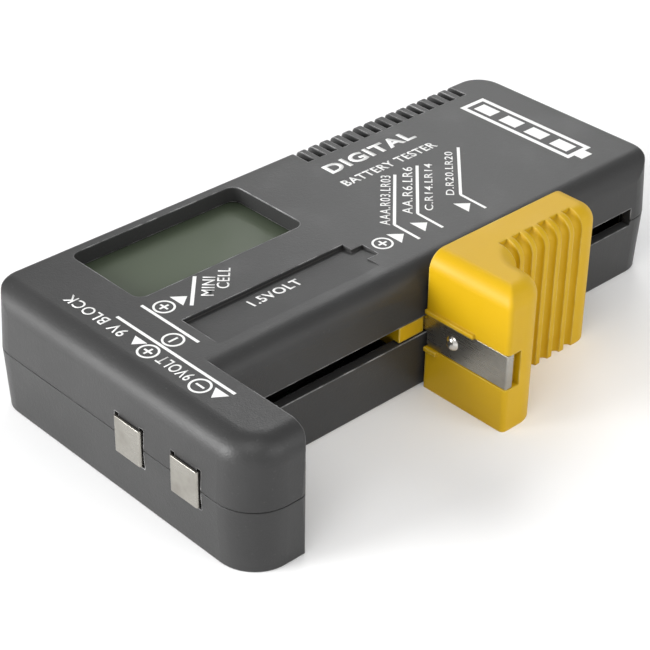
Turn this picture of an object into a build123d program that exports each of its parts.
from build123d import *
import math
import os

# Handheld battery tester. X runs along the case from the 9 V end (-X) to the plain end,
# +Y points to the ribbed long side, the yellow slide is on the -Y side, +Z is up.
# All sizes in millimetres. The last step moves the origin to the middle of the footprint.

# Case
near_end = -54.6            # outer face that carries the 9 V contacts
far_end = 55.8
ribbed_side = 30.4          # side walls are widest at the parting line
slide_side = -12.6
foot_tip = -31.3
foot_length = 11.4          # the foot holds the far pole of the cell
case_height = 22.0
parting_height = 11.0
draft_angle = 3.0
wall = 1.8
plan_corner = 5.6
foot_corner = 7.1
foot_inner_corner = 2.1
top_edge = 4.0              # soft rounding above the 9 V end and the slide side
back_top_edge = 1.2         # crisper rounding above the ribbed side and the plain end
bottom_edge = 0.3
inner_edge = 2.0
case_span = 200            # larger than the case every way, for cutting blocks
foot_inner_face = near_end + foot_length

# Shadow gap along the parting line
seam_height = 0.16
seam_depth = 0.3

# Lip that locates the two shells on each other
lip_rise = 1.2
lip_width = 0.8
lip_gap = 0.2

# Display window and the sunken cell outline
window_low_x, window_high_x = -40.3, -6.6
window_low_y, window_high_y = 10.2, 27.5
window_corner = 1.8
skirt_bottom = 19.2
cell_low_x, cell_high_x = -39.1, -6.5
cell_high_y, cell_run_out_y = 1.5, -7.0
cell_depth = 0.8
cell_nub_length = 2.3
cell_nub_low_y, cell_nub_high_y = -4.2, -0.6

# Grip grooves across the ribbed top edge
groove_count = 15
groove_first_x = 8.8
groove_pitch = 2.66
groove_width = 1.5
groove_depth = 1.3
groove_inner_y = 25.2
groove_low_z = parting_height + 1.4

# Slot for the slide, and the slide's travel
slot_low_z, slot_high_z = 10.2, 13.4
slot_end_x = 48.9
rest_gap = 41.5             # foot to slide as it stands
slide_face = foot_inner_face + rest_gap
travel_closed = 40.5
running_gap = 0.3

# Slide handle
handle_height = 25.0
handle_length = 31.7
arm_thickness = 8.6
base_depth = 8.0
handle_back = slide_side - running_gap
handle_tip = -30.0
handle_end = slide_face + handle_length
handle_outer = handle_back - base_depth
handle_top_edge = 3.0
arm_root_fillet = 4.0
arm_tip_fillet = 4.6
base_end_fillet = 3.6
arm_face_fillet = 0.8
thumb_count = 6
thumb_pitch = 2.95
thumb_radius = 0.95
thumb_first_x = slide_face + 11.0

# Contact strips of nickel-plated spring steel
strip_thickness = 0.4
strip_low_z, strip_high_z = 8.0, 14.1
channel_depth = 0.5
channel_margin = 0.1
strip_bend = 1.4
notch_depth = 3.0
rivet_head_radius = 1.35
slide_rivet_y = -18.4
foot_rivet_y = -22.2        # clear of the slide's rivet when the slide is closed
rivet_z = 11.0

# 9 V contacts, at the stud spacing of a 9 V block
stud_spacing = 12.7
first_stud_y = -4.85
stud_plate_width = 6.0
stud_plate_low_z, stud_plate_high_z = 8.0, 14.3
stud_proud = 0.4
stud_slot_width = 0.9

# Carriage, rail and wiper
carriage_low_z, carriage_high_z = 8.2, 15.2
carriage_outer_y, carriage_inner_y = -10.4, -6.6
carriage_end_x = 26.5
web_end_x = 27.8
web_margin = 0.25
tab_length = 5.4
rail_low_x, rail_high_x = -44.0, 46.0
rail_low_y, rail_high_y = -9.6, -6.0
rail_top = 6.4
rail_thickness = 0.4
guide_thickness = 1.2
guide_gap = 0.3
slide_screw_places = (slide_face + 7.0, slide_face + 23.0)

# Display, board and screws
glass_low_x, glass_high_x = -42.4, -5.6
glass_low_y, glass_high_y = 7.6, 27.6
glass_thickness = 1.1
glass_top = skirt_bottom - 0.1
ledge_width = 2.6           # contact ledge of the front glass
board_low_x, board_high_x = -44.0, 5.0
board_low_y, board_high_y = -3.6, 26.8
board_thickness = 1.6
board_top = 13.2
board_post_radius = 2.2
board_screw_places = ((1.8, 22.5), (1.8, 1.0), (-40.8, 0.6))
case_screw_places = ((-48.9, -24.4), (-48.6, 22.6), (48.6, 23.2), (49.4, -2.8))
boss_radius = 3.1
counterbore_radius = 2.8
counterbore_depth = 5.5
wire_radius = 0.55


def box_between(low, high):
    """Box from its lowest to its highest corner."""
    size = [b - a for a, b in zip(low, high)]
    middle = [(a + b) / 2 for a, b in zip(low, high)]
    return Pos(*middle) * Box(*size)


def rounded_column(low_x, high_x, low_y, high_y, low_z, high_z, corner):
    """Upright block with rounded plan corners."""
    plan = RectangleRounded(high_x - low_x, high_y - low_y, corner)
    place = Pos((low_x + high_x) / 2, (low_y + high_y) / 2, low_z)
    return place * extrude(plan, high_z - low_z)


def drafted_block(low_y, tip_corner, inset, height, edge, reach):
    """Half of a case block: widest at z = 0, drawn in by the draft, rounded at its far face.

    The reach pushes the ribbed side and the plain end outwards.
    """
    low_x = near_end + inset
    high_x = far_end - inset + reach
    high_y = ribbed_side - inset + reach
    plan = Pos((low_x + high_x) / 2, (low_y + inset + high_y) / 2) * Rectangle(
        high_x - low_x, high_y - low_y - inset)
    tip = plan.vertices().sort_by_distance((low_x, low_y + inset))[0]
    others = [corner for corner in plan.vertices() if corner != tip]
    plan = fillet(others, plan_corner - inset)
    tip = plan.vertices().sort_by_distance((low_x, low_y + inset))[0]
    plan = fillet(tip, tip_corner - inset)
    block = extrude(plan, height, taper=draft_angle)
    far_edges = block.faces().sort_by(Axis.Z)[-1].edges()
    return fillet(far_edges, edge)


def foot_block(inset, height, edge, reach):
    """The case block at the foot's full depth, cut off at its inner face with a rounded corner."""
    split = foot_inner_face - inset
    low_y = foot_tip + inset
    corner = max(foot_inner_corner - inset, 0.3)
    plan = Pos(split - case_span / 2, low_y + case_span / 2) * Rectangle(case_span, case_span)
    plan = fillet(plan.vertices().sort_by_distance((split, low_y))[0], corner)
    return drafted_block(foot_tip, foot_corner, inset, height, edge, reach) & extrude(plan, height + 1)


def case_half(inset, height, edge, reach=0.0):
    """Body and foot together, from the parting line to the far face."""
    split = foot_inner_face - inset
    body_side = box_between((split, -case_span, -1), (case_span, case_span, case_span))
    body = drafted_block(slide_side, plan_corner, inset, height, edge, reach) & body_side
    return foot_block(inset, height, edge, reach) + body


def outer_upper_half():
    """Upper case block: soft edges on the 9 V end and slide side, crisp ones on the other two."""
    height = case_height - parting_height
    soft = case_half(0, height, top_edge, reach=2 * top_edge)
    crisp = case_half(0, height, back_top_edge)
    return Pos(0, 0, parting_height) * (soft & crisp)


def upper_half(inset, height, edge):
    return Pos(0, 0, parting_height) * case_half(inset, height, edge)


def lower_half(inset, height, edge):
    return Pos(0, 0, parting_height) * mirror(case_half(inset, height, edge), Plane.XY)


def slide_slot():
    """Room for the web and tab of the carriage, along the slide side and into the foot."""
    along_body = box_between(
        (foot_inner_face, slide_side - 2, slot_low_z), (slot_end_x, carriage_outer_y + 0.6, slot_high_z))
    tab_tip = slide_face - tab_length - travel_closed
    in_foot = box_between(
        (tab_tip - 0.6, slide_side + 0.1, slot_low_z),
        (foot_inner_face, carriage_outer_y + 0.6, slot_high_z))
    return along_body + in_foot


def stud_centres():
    return (first_stud_y, first_stud_y - stud_spacing)


def stud_slots():
    """Two upright slots in the end face for the legs of each 9 V contact."""
    slots = Part()
    for centre_y in stud_centres():
        for side in (-1, 1):
            middle_y = centre_y + side * (stud_plate_width / 2 - 0.15)
            slots += box_between(
                (near_end - 1, middle_y - stud_slot_width / 2, stud_plate_low_z - 0.3),
                (near_end + wall + 1.5, middle_y + stud_slot_width / 2, stud_plate_high_z + 0.3))
    return slots


def foot_channel():
    """Shallow channel in the foot's inner wall for the fixed cell contact."""
    return box_between(
        (foot_inner_face - channel_depth, foot_tip + 2.6, strip_low_z - channel_margin),
        (foot_inner_face + 1, slide_side - 0.6, strip_high_z + channel_margin))


def foot_rivet_hole():
    return Pos(foot_inner_face, foot_rivet_y, rivet_z) * Rot(0, 90, 0) * Cylinder(0.8, 4 * wall)


def sunken_cell():
    """Outline of a cell let into the top: its floor tilts, and runs out flush on the slide side."""
    slope = Polyline(
        (cell_high_y, case_height + 1), (cell_high_y, case_height - cell_depth),
        (cell_run_out_y, case_height), (cell_run_out_y, case_height + 1), close=True)
    wedge = extrude(Plane.YZ * make_face(slope), cell_high_x - cell_low_x + cell_nub_length)
    wedge = Pos(cell_low_x, 0, 0) * wedge
    body = box_between((cell_low_x, cell_run_out_y, 20), (cell_high_x, cell_high_y, 24))
    nub = box_between(
        (cell_high_x - 1, cell_nub_low_y, 20), (cell_high_x + cell_nub_length, cell_nub_high_y, 24))
    return wedge & (body + nub)


def grip_grooves(half):
    """Grooves that wrap over the ribbed edge, cut to an even depth below it."""
    low_z = groove_low_z if half == "upper" else 0.0
    high_z = case_height + 1 if half == "upper" else 2 * parting_height - groove_low_z
    bars = Part()
    for index in range(groove_count):
        middle = groove_first_x + index * groove_pitch
        bars += box_between(
            (middle - groove_width / 2, groove_inner_y, low_z - 1 if half == "lower" else low_z),
            (middle + groove_width / 2, ribbed_side + 1, high_z))
    return bars


def top_shell():
    """Upper housing: window with skirt, sunken cell outline, grip grooves, bosses and guide rib."""
    shell = outer_upper_half()
    cavity = upper_half(wall, case_height - parting_height - wall, inner_edge)
    core = upper_half(groove_depth, case_height - parting_height - groove_depth, back_top_edge)
    shell = shell - (grip_grooves("upper") - core)
    inside_top = case_height - wall + 0.4
    fittings = rounded_column(
        window_low_x - 1, window_high_x + 1, window_low_y - 1, window_high_y + 1,
        skirt_bottom, inside_top, window_corner + 1)
    fittings += box_between(
        (-40, carriage_inner_y + guide_gap, carriage_low_z + 3),
        (far_end - wall - 2, carriage_inner_y + guide_gap + guide_thickness, inside_top))
    for x, y in case_screw_places:
        fittings += Pos(x, y, (parting_height + inside_top) / 2) * Cylinder(
            boss_radius, inside_top - parting_height)
    for x, y in board_screw_places:
        fittings += Pos(x, y, (board_top + inside_top) / 2) * Cylinder(
            board_post_radius, inside_top - board_top)
    shell = shell - cavity + (fittings & upper_half(0.6, case_height - parting_height - 0.6, inner_edge))
    shell -= rounded_column(
        window_low_x, window_high_x, window_low_y, window_high_y, 15, 30, window_corner)
    shell -= sunken_cell()
    shell -= slide_slot()
    shell -= stud_slots()
    shell -= foot_channel()
    shell -= foot_rivet_hole()
    for x, y in case_screw_places:
        shell -= Pos(x, y, parting_height + 3.5) * Cylinder(1.05, 7.2)
    for x, y in board_screw_places:
        shell -= Pos(x, y, board_top + 2.2) * Cylinder(0.85, 4.6)
    return shell - seam_gap()


def seam_gap():
    """Fine step round the outside of the upper shell, just above the parting line."""
    slab = box_between(
        (-case_span, -case_span, parting_height), (case_span, case_span, parting_height + seam_height))
    return slab - upper_half(seam_depth, 3.0, 0.2)


def locating_lip():
    """Thin rib round the inside of the lower shell, standing up into the upper one."""
    root = lower_half(wall - 0.5, 1.6, 0.2) - lower_half(wall + lip_gap + lip_width, 3.0, 0.2)
    rise = upper_half(wall + lip_gap, lip_rise, 0.2) - upper_half(
        wall + lip_gap + lip_width, lip_rise + 1, 0.2)
    return root + rise


def bottom_shell():
    """Lower housing: floor, screw bosses, rail support, locating lip and grip grooves."""
    shell = lower_half(0, parting_height, bottom_edge)
    core = lower_half(groove_depth, parting_height + 1, 0.3)
    shell = shell - (grip_grooves("lower") - core)
    shell -= lower_half(wall, parting_height - wall, 1.0)
    lip = locating_lip()
    lip -= slide_slot()
    lip -= box_between((tab_clear_x(), slide_side - 1, 9), (slot_end_x + 0.6, carriage_inner_y + 1, 20))
    lip -= box_between(
        (foot_inner_face - wall - 2.5, foot_rivet_y - 2, 8), (foot_inner_face, foot_rivet_y + 5, 20))
    for x, y in case_screw_places:
        lip -= Pos(x, y, parting_height + 1) * Cylinder(boss_radius + 0.3, 6)
    shell += lip
    fittings = box_between(
        (rail_low_x - 1, rail_low_y - 0.3, wall - 0.4),
        (rail_high_x + 1, rail_high_y + 0.3, rail_top - rail_thickness))
    for x, y in case_screw_places:
        fittings += Pos(x, y, (wall - 0.4 + parting_height) / 2) * Cylinder(
            boss_radius, parting_height - wall + 0.4)
    shell += fittings & lower_half(0.6, parting_height - 0.6, 0.5)
    for x, y in case_screw_places:
        shell -= Pos(x, y, 6) * Cylinder(1.4, 14)
        shell -= Pos(x, y, counterbore_depth / 2) * Cylinder(counterbore_radius, counterbore_depth)
    shell -= slide_slot()
    shell -= stud_slots()
    shell -= foot_channel()
    shell -= foot_rivet_hole()
    for x in (rail_low_x + 2, rail_high_x - 2):
        shell -= Pos(x, rail_middle_y(), rail_top - 2.4) * Cylinder(0.7, 4)
    return shell


def tab_clear_x():
    return slide_face - tab_length - travel_closed - 0.6


def rail_middle_y():
    return (rail_low_y + rail_high_y) / 2


def slide_handle():
    """Yellow slide: arm that meets the cell, and a thumb base with upright grooves."""
    arm_side = slide_face + arm_thickness
    outline = Polyline(
        (slide_face, handle_back), (handle_end, handle_back), (handle_end, handle_outer),
        (arm_side, handle_outer), (arm_side, handle_tip), (slide_face, handle_tip), close=True)
    plan = make_face(outline)
    points = plan.vertices()
    plan = fillet(points.sort_by_distance((arm_side, handle_outer))[0], arm_root_fillet)
    plan = fillet(plan.vertices().sort_by_distance((arm_side, handle_tip))[0], arm_tip_fillet)
    plan = fillet(plan.vertices().sort_by_distance((handle_end, handle_outer))[0], base_end_fillet)
    body = extrude(plan, handle_height)
    top = body.faces().sort_by(Axis.Z)[-1]
    rim = [edge for edge in top.edges() if edge.center().Y < handle_back - 0.1]
    body = fillet(rim, handle_top_edge)
    corner = [
        edge for edge in body.edges()
        if (edge.center() - Vector(slide_face, handle_tip, edge.center().Z)).length < 2.2
        and edge.center().Z > 1 and abs(edge.tangent_at(0.5).Z) > 0.3]
    body = fillet(corner, arm_face_fillet)
    for index in range(thumb_count):
        body -= thumb_groove(thumb_first_x + index * thumb_pitch)
    return body


def thumb_groove(x):
    """Round-bottomed groove that climbs the thumb face and fades out over its rounded top."""
    bend_top = handle_height - handle_top_edge
    climb = Line((handle_outer, -1), (handle_outer, bend_top))
    bend = CenterArc((handle_outer + handle_top_edge, bend_top), handle_top_edge, 180, -90)
    path = Pos(x, 0, 0) * (Plane.YZ * (climb + bend))
    return sweep(Pos(x, handle_outer, -1) * Circle(thumb_radius), path)


def slide_handle_cuts():
    """Channel and notch for the contact strip, and pilot holes for the rivet and screws."""
    cuts = box_between(
        (slide_face - 1, handle_tip - 1, strip_low_z - channel_margin),
        (slide_face + channel_depth, handle_back + 1, strip_high_z + channel_margin))
    cuts += box_between(
        (slide_face - 1, handle_tip - 1, strip_low_z - channel_margin),
        (slide_face + notch_depth, handle_tip + 1.2, strip_high_z + channel_margin))
    cuts += Pos(slide_face + channel_depth, slide_rivet_y, rivet_z) * Rot(0, 90, 0) * Cylinder(0.8, 5)
    for x in slide_screw_places:
        cuts += Pos(x, handle_back, slot_middle_z()) * Rot(90, 0, 0) * Cylinder(0.85, 10)
    return cuts


def channel_lips():
    """Low ridges beside the channel that guard the strip's inner end."""
    upper = box_between(
        (slide_face - 0.5, handle_back - 10.2, strip_high_z + 0.1),
        (slide_face + 0.5, handle_back, strip_high_z + 0.8))
    lower = box_between(
        (slide_face - 0.5, handle_back - 2.6, strip_low_z - 0.8),
        (slide_face + 0.5, handle_back, strip_low_z - 0.1))
    return upper + lower


def slot_middle_z():
    return (slot_low_z + slot_high_z) / 2


def slide_carriage():
    """Block that runs inside the case, with the web and tab that show in the slot."""
    web_low_z = slot_low_z + web_margin
    web_high_z = slot_high_z - web_margin
    block = box_between(
        (slide_face - 4.5, carriage_outer_y, carriage_low_z),
        (carriage_end_x, carriage_inner_y, carriage_high_z))
    block = chamfer(block.edges().filter_by(Axis.Z), 0.5)
    web = box_between(
        (slide_face, handle_back, web_low_z), (web_end_x, carriage_outer_y + 1, web_high_z))
    tab = box_between(
        (slide_face - tab_length, slide_side + 0.3, web_low_z),
        (slide_face, carriage_outer_y + 1, web_high_z))
    block += web + tab
    slit_x = slide_face + 0.3
    block -= box_between(
        (slit_x - 0.4, handle_back - 1, web_low_z), (slit_x + 0.4, -7.9, web_high_z - 0.1))
    block -= box_between(
        (slit_x - 0.9, -9.6, carriage_low_z - 1), (slit_x + 0.4, -7.9, web_high_z - 0.1))
    for x in slide_screw_places:
        hole = Pos(x, carriage_outer_y, slot_middle_z()) * Rot(90, 0, 0)
        block -= hole * Cylinder(1.1, 12)
        block -= Pos(x, carriage_inner_y, slot_middle_z()) * Rot(90, 0, 0) * Cylinder(2.1, 3.2)
    return block


def slide_contact():
    """Strip along the slide's face: outer end folded round the tip, tongue led into the case."""
    face = box_between(
        (slide_face + 0.1, handle_tip + 0.1, strip_low_z),
        (slide_face + 0.1 + strip_thickness, handle_back - 0.1, strip_high_z))
    fold = box_between(
        (slide_face + 0.1, handle_tip + 0.1, strip_low_z),
        (slide_face + 0.1 + strip_bend, handle_tip + 0.1 + strip_thickness, strip_high_z))
    strip = face + fold
    strip = fillet(
        strip.edges().filter_by(Axis.Z).sort_by_distance((slide_face + 0.1, handle_tip + 0.1, 11))[0], 0.35)
    tongue = box_between(
        (slide_face + 0.1, handle_back - 0.2, slot_middle_z() - 1.1),
        (slide_face + 0.1 + strip_thickness, -8.0, slot_middle_z() + 1.1))
    strip += tongue
    strip -= Pos(slide_face, slide_rivet_y, rivet_z) * Rot(0, 90, 0) * Cylinder(0.8, 4)
    return strip


def rivet(x, y, direction):
    """Domed rivet through a contact strip; direction is the side its head faces."""
    head = Sphere(rivet_head_radius * 1.15)
    head = Pos(0, 0, -rivet_head_radius * 1.15 + 0.75) * head
    head &= Pos(0, 0, 5) * Box(10, 10, 10)
    shank = Pos(0, 0, -1.2) * Cylinder(0.78, 2.4)
    return Pos(x, y, rivet_z) * Rot(0, 90 * direction, 0) * (head + shank)


def slide_rivet():
    return rivet(slide_face + 0.1, slide_rivet_y, -1)


def foot_rivet():
    return rivet(foot_inner_face - 0.1, foot_rivet_y, 1)


def slide_wiper():
    """Leaf that joins the strip's tongue to the rail."""
    x = slide_face - 0.1
    leaf = Polyline((x, 12.6), (x, 7.95), (x + 9, 7.95), (x + 14, 6.6), (x + 15.5, 7.0))
    leaf = trace(leaf, line_width=0.3)
    return Pos(0, -8.0, 0) * extrude(Plane.XZ * leaf, 1.5)


def screw(head_radius, head_height, shank_radius, length):
    """Pan-head screw standing on its tip, with its head at the bottom."""
    head = Pos(0, 0, head_height / 2) * Cylinder(head_radius, head_height)
    head = chamfer(head.edges().sort_by(Axis.Z)[0], head_height * 0.3)
    shank = Pos(0, 0, head_height + length / 2) * Cylinder(shank_radius, length)
    return head + shank


def case_screws():
    one = screw(2.4, 1.6, 1.0, 10.5)
    return Compound([Pos(x, y, counterbore_depth - 1.6) * one for x, y in case_screw_places])


def board_screws():
    one = screw(1.9, 1.2, 0.8, 5.2)
    return Compound([Pos(x, y, board_top - board_thickness - 1.2) * one for x, y in board_screw_places])


def slide_screws():
    one = screw(1.8, 1.2, 0.82, 9.0)
    place_y = carriage_inner_y - 1.6 + 1.2
    return Compound([Pos(x, place_y, slot_middle_z()) * Rot(90, 0, 0) * one for x in slide_screw_places])


def stud_contact(centre_y):
    """Plate folded through two slots of the end face, for one stud of a 9 V block."""
    half = stud_plate_width / 2
    outer = near_end - stud_proud
    plate = box_between(
        (outer, centre_y - half, stud_plate_low_z), (near_end + 3.6, centre_y + half, stud_plate_high_z))
    inside = box_between(
        (outer + strip_thickness, centre_y - half + strip_thickness, 0),
        (near_end + 9, centre_y + half - strip_thickness, 30))
    bent = fillet(plate.edges().filter_by(Axis.Z).group_by(Axis.X)[0], 0.38)
    tail = box_between(
        (near_end + 3.4, centre_y - half, 9.6), (near_end + 4.6, centre_y - half + strip_thickness, 12.4))
    return bent - inside + tail


def foot_contact():
    """Fixed strip in the foot's inner wall, with a tail led through to the wires."""
    outer = foot_inner_face - 0.1
    strip = box_between(
        (outer - strip_thickness, foot_tip + 2.8, strip_low_z), (outer, slide_side - 1.0, strip_high_z))
    strip -= Pos(outer, foot_rivet_y, rivet_z) * Rot(0, 90, 0) * Cylinder(0.8, 4)
    return strip


def foot_tag():
    """Solder tag under the foot rivet, inside the wall."""
    inner = foot_inner_face - wall
    tag = box_between((inner - 0.35, foot_rivet_y - 1.6, 9.4), (inner - 0.02, foot_rivet_y + 4.0, 12.6))
    return tag - Pos(inner, foot_rivet_y, rivet_z) * Rot(0, 90, 0) * Cylinder(0.8, 4)


def contact_rail():
    rail = box_between(
        (rail_low_x, rail_low_y, rail_top - rail_thickness), (rail_high_x, rail_high_y, rail_top))
    for x in (rail_low_x + 2, rail_high_x - 2):
        rail -= Pos(x, rail_middle_y(), rail_top) * Cylinder(0.7, 4)
    return rail


def rail_rivets():
    pin = Cylinder(0.68, 3.0) + Pos(0, 0, 1.8) * Cylinder(1.3, 0.6)
    places = (rail_low_x + 2, rail_high_x - 2)
    return Compound([Pos(x, rail_middle_y(), rail_top - 1.5) * pin for x in places])


def front_glass():
    return rounded_column(
        glass_low_x, glass_high_x, glass_low_y, glass_high_y, glass_top - glass_thickness, glass_top, 0.3)


def rear_glass():
    top = glass_top - glass_thickness
    return rounded_column(
        glass_low_x, glass_high_x, glass_low_y + ledge_width, glass_high_y,
        top - glass_thickness, top, 0.3)


def glass_seat():
    return glass_top - 2 * glass_thickness


def zebra_connector():
    """Rubber strip of alternating conductors between the board and the glass ledge."""
    return box_between(
        (glass_low_x + 1.2, glass_low_y + 0.2, board_top),
        (glass_high_x - 1.2, glass_low_y + 2.2, glass_top - glass_thickness))


def display_frame():
    """Moulded seat that holds the glass and the rubber strip above the board."""
    frame = box_between(
        (glass_low_x - 1.8, glass_low_y - 1.8, board_top),
        (glass_high_x + 1.8, glass_high_y, glass_top - 0.3))
    frame -= box_between(
        (glass_low_x - 0.1, glass_low_y - 0.1, glass_seat()),
        (glass_high_x + 0.1, glass_high_y + 1, glass_top))
    frame -= box_between(
        (glass_low_x + 1.1, glass_low_y + 0.1, 10), (glass_high_x - 1.1, glass_low_y + 2.3, 30))
    frame -= box_between(
        (glass_low_x + 3, glass_low_y + 4, 10), (glass_high_x - 3, glass_high_y - 2.5, 30))
    return frame


def circuit_board():
    board = box_between(
        (board_low_x, board_low_y, board_top - board_thickness), (board_high_x, board_high_y, board_top))
    board = chamfer(board.edges().filter_by(Axis.Z), 1.0)
    for x, y in board_screw_places:
        board -= Pos(x, y, board_top) * Cylinder(1.0, 6)
    return board


def board_under():
    return board_top - board_thickness


def chip_cover():
    """Blob of resin over the bonded chip."""
    dome = Pos(0, 0, 6.2) * Sphere(8.0) & Pos(0, 0, -5) * Box(20, 20, 10)
    return Pos(-24, 14, board_under()) * dome


def load_resistors():
    body = Rot(0, 90, 0) * Cylinder(1.2, 6.4)
    lead = Rot(0, 90, 0) * Cylinder(0.3, 11) + Pos(5.5, 0, 0.6) * Cylinder(0.3, 1.7)
    lead += Pos(-5.5, 0, 0.6) * Cylinder(0.3, 1.7)
    one = body + lead
    return Compound([Pos(-6, y, board_under() - 1.45) * one for y in (7.0, 11.0)])


def boost_inductor():
    drum = Cylinder(2.9, 4.6) - (Cylinder(3.4, 3.0) - Cylinder(2.2, 3.4))
    return Pos(-6, 19, board_under() - 2.3) * drum


def capacitors():
    can = chamfer(Cylinder(2.0, 5.0).edges().sort_by(Axis.Z)[0], 0.3)
    return Compound([Pos(x, 4.5, board_under() - 2.5) * can for x in (-36, -30)])


def wire(points):
    """Insulated wire along straight runs joined by arcs as large as the runs allow."""
    corners = [Vector(*point) for point in points]
    radii = []
    for before, here, after in zip(corners, corners[1:], corners[2:]):
        first, second = here - before, after - here
        turn = first.get_angle(second)
        radii.append(0.45 * min(first.length, second.length) / tan_half(turn))
    path = FilletPolyline(*corners, radius=radii)
    start = Plane(origin=path @ 0, z_dir=path % 0)
    return sweep(start * Circle(wire_radius), path)


def tan_half(degrees):
    return math.tan(math.radians(degrees / 2))


def plus_stud_wire():
    y = first_stud_y - stud_plate_width / 2
    return wire((
        (-49.4, y + 0.2, 11.0), (-48.6, y + 3.5, 9.0), (-46.0, 0.2, 7.6), (-42.5, 2.6, 8.0),
        (-42.0, 3.0, 11.35)))


def minus_stud_wire():
    y = first_stud_y - stud_spacing - stud_plate_width / 2
    return wire((
        (-49.4, y + 0.2, 11.0), (-48.4, y + 4.6, 14.0), (-49.4, y + 10.0, 15.6), (-49.6, y + 16.0, 14.6),
        (-48.9, y + 21.0, 10.0), (-44.5, 4.4, 8.2), (-42.6, 6.0, 11.3)))


def foot_wire():
    x = foot_inner_face - wall - 0.35 - wire_radius
    return wire((
        (x, foot_rivet_y + 3.0, 10.4), (x - 0.9, foot_rivet_y + 6.5, 7.6),
        (x - 2.4, foot_rivet_y + 12.0, 6.6), (-47.4, -2.5, 6.2), (-43.5, 6.6, 7.4), (-42.0, 9.0, 11.3)))


def rail_wire():
    return wire((
        (-43.2, rail_high_y + 0.7, rail_top - 0.2), (-42.4, -3.4, 4.6), (-39.6, -1.8, 4.4),
        (-37.0, -0.6, 7.4), (-36.6, -0.4, 11.35)))


def finished_handle():
    return slide_handle() + channel_lips() - slide_handle_cuts()


nodes = {
    "top_shell": top_shell,
    "bottom_shell": bottom_shell,
    "case_screws": case_screws,
    "display_front_glass": front_glass,
    "display_rear_glass": rear_glass,
    "display_frame": display_frame,
    "zebra_connector": zebra_connector,
    "circuit_board": circuit_board,
    "chip_cover": chip_cover,
    "load_resistors": load_resistors,
    "boost_inductor": boost_inductor,
    "capacitors": capacitors,
    "board_screws": board_screws,
    "stud_contact_plus": lambda: stud_contact(first_stud_y),
    "stud_contact_minus": lambda: stud_contact(first_stud_y - stud_spacing),
    "foot_contact": foot_contact,
    "foot_rivet": foot_rivet,
    "foot_tag": foot_tag,
    "contact_rail": contact_rail,
    "rail_rivets": rail_rivets,
    "wire_stud_plus": plus_stud_wire,
    "wire_stud_minus": minus_stud_wire,
    "wire_foot": foot_wire,
    "wire_rail": rail_wire,
    "slide_handle": finished_handle,
    "slide_carriage": slide_carriage,
    "slide_contact": slide_contact,
    "slide_rivet": slide_rivet,
    "slide_wiper": slide_wiper,
    "slide_screws": slide_screws,
}

footprint_x = (near_end - stud_proud + far_end) / 2
footprint_y = (foot_tip + ribbed_side) / 2
to_origin = Pos(-footprint_x, -footprint_y, 0)

os.makedirs("parts", exist_ok=True)
for name, make in nodes.items():
    export_step(to_origin * make(), f"parts/{name}.step")
